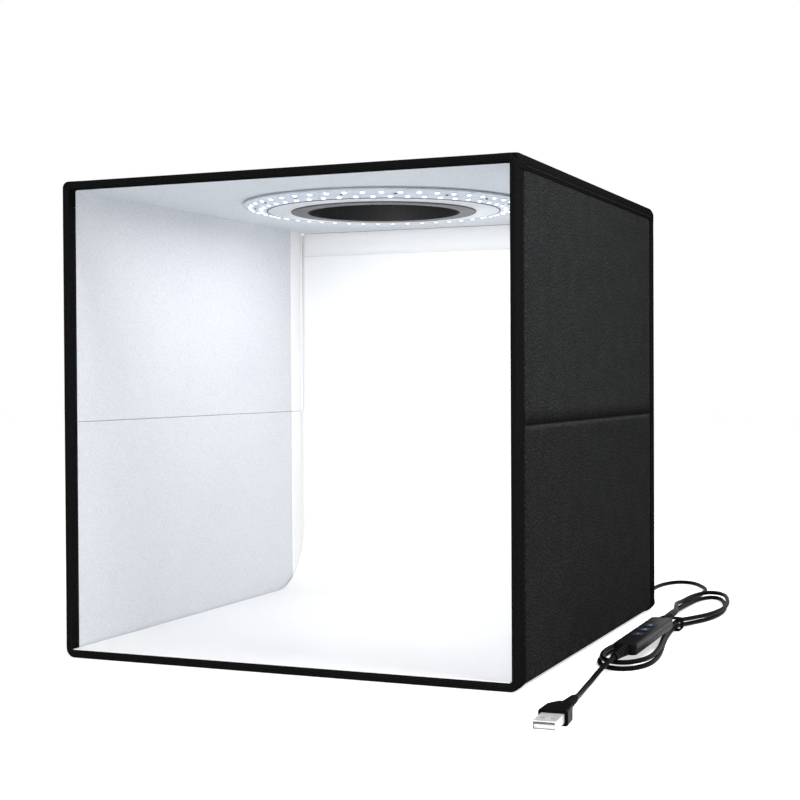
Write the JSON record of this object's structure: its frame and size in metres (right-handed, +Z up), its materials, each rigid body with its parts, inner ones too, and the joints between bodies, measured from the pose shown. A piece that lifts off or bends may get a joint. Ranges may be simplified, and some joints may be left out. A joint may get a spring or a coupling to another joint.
{
  "type": "light tent cube",
  "caption": "Folding light tent cube, open at the front, with a white sweep backdrop, a ring light and a camera window in the roof, and a lead with an inline dimmer and plug.",
  "frame": {"origin": "middle of the tent's footprint, without its cord, on the surface that it stands on", "axes": "+Z up, -Y out of the open front, +Y towards the back panel, +X to the side that the lead lies on"},
  "size_m": [0.3553, 0.5585, 0.3018],
  "materials": {
    "outer_cloth": "matte charcoal non-woven cloth with a fine weave",
    "tape": "black ribbed binding tape",
    "board": "plain stiffener board",
    "lining": "pale silver embossed reflective lining",
    "white_sheet": "smooth matte white sheet",
    "white_strip": "white hook tape and foam",
    "light_board": "white light board with pale yellow chips",
    "flange": "dark grey moulded ring",
    "flap": "black cloth under the flap",
    "cord": "satin black jacket",
    "dimmer": "satin black moulded plastic",
    "button": "dark blue-grey rubber",
    "circuit": "green circuit board",
    "plug_metal": "bright nickel plated steel",
    "tongue": "white insert"
  },
  "bodies": {
    "root": {"floor_cover": "outer_cloth", "floor_board": "board", "floor_lining": "lining", "floor_binding": "tape", "floor_left_spine": "outer_cloth", "floor_right_spine": "outer_cloth", "floor_rear_spine": "outer_cloth", "backdrop_sheet": "white_sheet", "cord_drop": "cord", "cord_run": "cord", "cord_hank": "cord", "cord_tie": "cord", "cord_tail": "cord", "dimmer_lower_shell": "dimmer", "dimmer_upper_shell": "dimmer", "dimmer_board": "circuit", "dimmer_far_boot": "cord", "dimmer_near_boot": "cord", "plug_overmold": "cord", "plug_shell": "plug_metal", "plug_tongue": "tongue"},
    "left_lower": {"left_lower_cover": "outer_cloth", "left_lower_board": "board", "left_lower_lining": "lining", "left_lower_binding": "tape"},
    "left_upper": {"left_upper_cover": "outer_cloth", "left_upper_board": "board", "left_upper_lining": "lining", "left_upper_binding": "tape"},
    "right_lower": {"right_lower_cover": "outer_cloth", "right_lower_board": "board", "right_lower_lining": "lining", "right_lower_binding": "tape"},
    "right_upper": {"right_upper_cover": "outer_cloth", "right_upper_board": "board", "right_upper_lining": "lining", "right_upper_binding": "tape"},
    "roof": {"roof_cover": "outer_cloth", "roof_board": "board", "roof_lining": "lining", "roof_binding": "tape", "roof_left_spine": "outer_cloth", "roof_right_spine": "outer_cloth", "light_carrier": "white_strip", "light_board": "light_board", "window_flange": "flange", "inner_lead": "white_strip", "cord_exit_block": "dimmer", "flap_hinge_strip": "tape"},
    "window_flap": {"flap_board": "flap", "flap_cover": "outer_cloth", "flap_pull_tab": "tape"},
    "back_panel": {"back_cover": "outer_cloth", "back_board": "board", "back_lining": "white_sheet", "back_binding": "tape", "hook_strip": "white_strip"},
    "minus_key": {"button_minus": "button"},
    "power_key": {"button_power": "button"},
    "plus_key": {"button_plus": "button"}
  },
  "joints": [
    {"name": "side_fold", "type": "hinge", "parent": "root", "child": "left_lower", "pos_m": [-0.1452, 0, 0.0129], "axis": [0, 1, 0], "range_deg": [0, 88], "deforming": ["backdrop_sheet", "cord_drop"]},
    {"name": "left_crease", "type": "hinge", "parent": "left_lower", "child": "left_upper", "pos_m": [-0.15, 0, 0.14805], "axis": [0, 1, 0], "range_deg": [-176, 0]},
    {"name": "left_roof_fold", "type": "hinge", "parent": "left_upper", "child": "roof", "pos_m": [-0.1452, 0, 0.2832], "axis": [0, 1, 0], "range_deg": [0, 88]},
    {"name": "right_fold", "type": "hinge", "parent": "root", "child": "right_lower", "pos_m": [0.1452, 0, 0.0129], "axis": [0, 1, 0], "range_deg": [-88, 0]},
    {"name": "right_crease", "type": "hinge", "parent": "right_lower", "child": "right_upper", "pos_m": [0.15, 0, 0.14805], "axis": [0, 1, 0], "range_deg": [0, 176]},
    {"name": "back_fold", "type": "hinge", "parent": "root", "child": "back_panel", "pos_m": [0, 0.16085, 0.0076], "axis": [1, 0, 0], "range_deg": [0, 90]},
    {"name": "window_flap_hinge", "type": "hinge", "parent": "roof", "child": "window_flap", "pos_m": [0, 0.05835, 0.3017], "axis": [-1, 0, 0], "range_deg": [0, 170]},
    {"name": "minus_press", "type": "slide", "parent": "root", "child": "minus_key", "axis": [0, 0.0105, -0.9999], "range_m": [0, 0.0006], "stiffness_N_per_m": 400},
    {"name": "power_press", "type": "slide", "parent": "root", "child": "power_key", "axis": [0, 0.0105, -0.9999], "range_m": [0, 0.0006], "stiffness_N_per_m": 400},
    {"name": "plus_press", "type": "slide", "parent": "root", "child": "plus_key", "axis": [0, 0.0105, -0.9999], "range_m": [0, 0.0006], "stiffness_N_per_m": 400}
  ],
  "couplings": [
    {"joint": "left_crease", "follows": "side_fold", "ratio": -2},
    {"joint": "left_roof_fold", "follows": "side_fold", "ratio": 1},
    {"joint": "right_fold", "follows": "side_fold", "ratio": -1},
    {"joint": "right_crease", "follows": "side_fold", "ratio": 2}
  ]
}
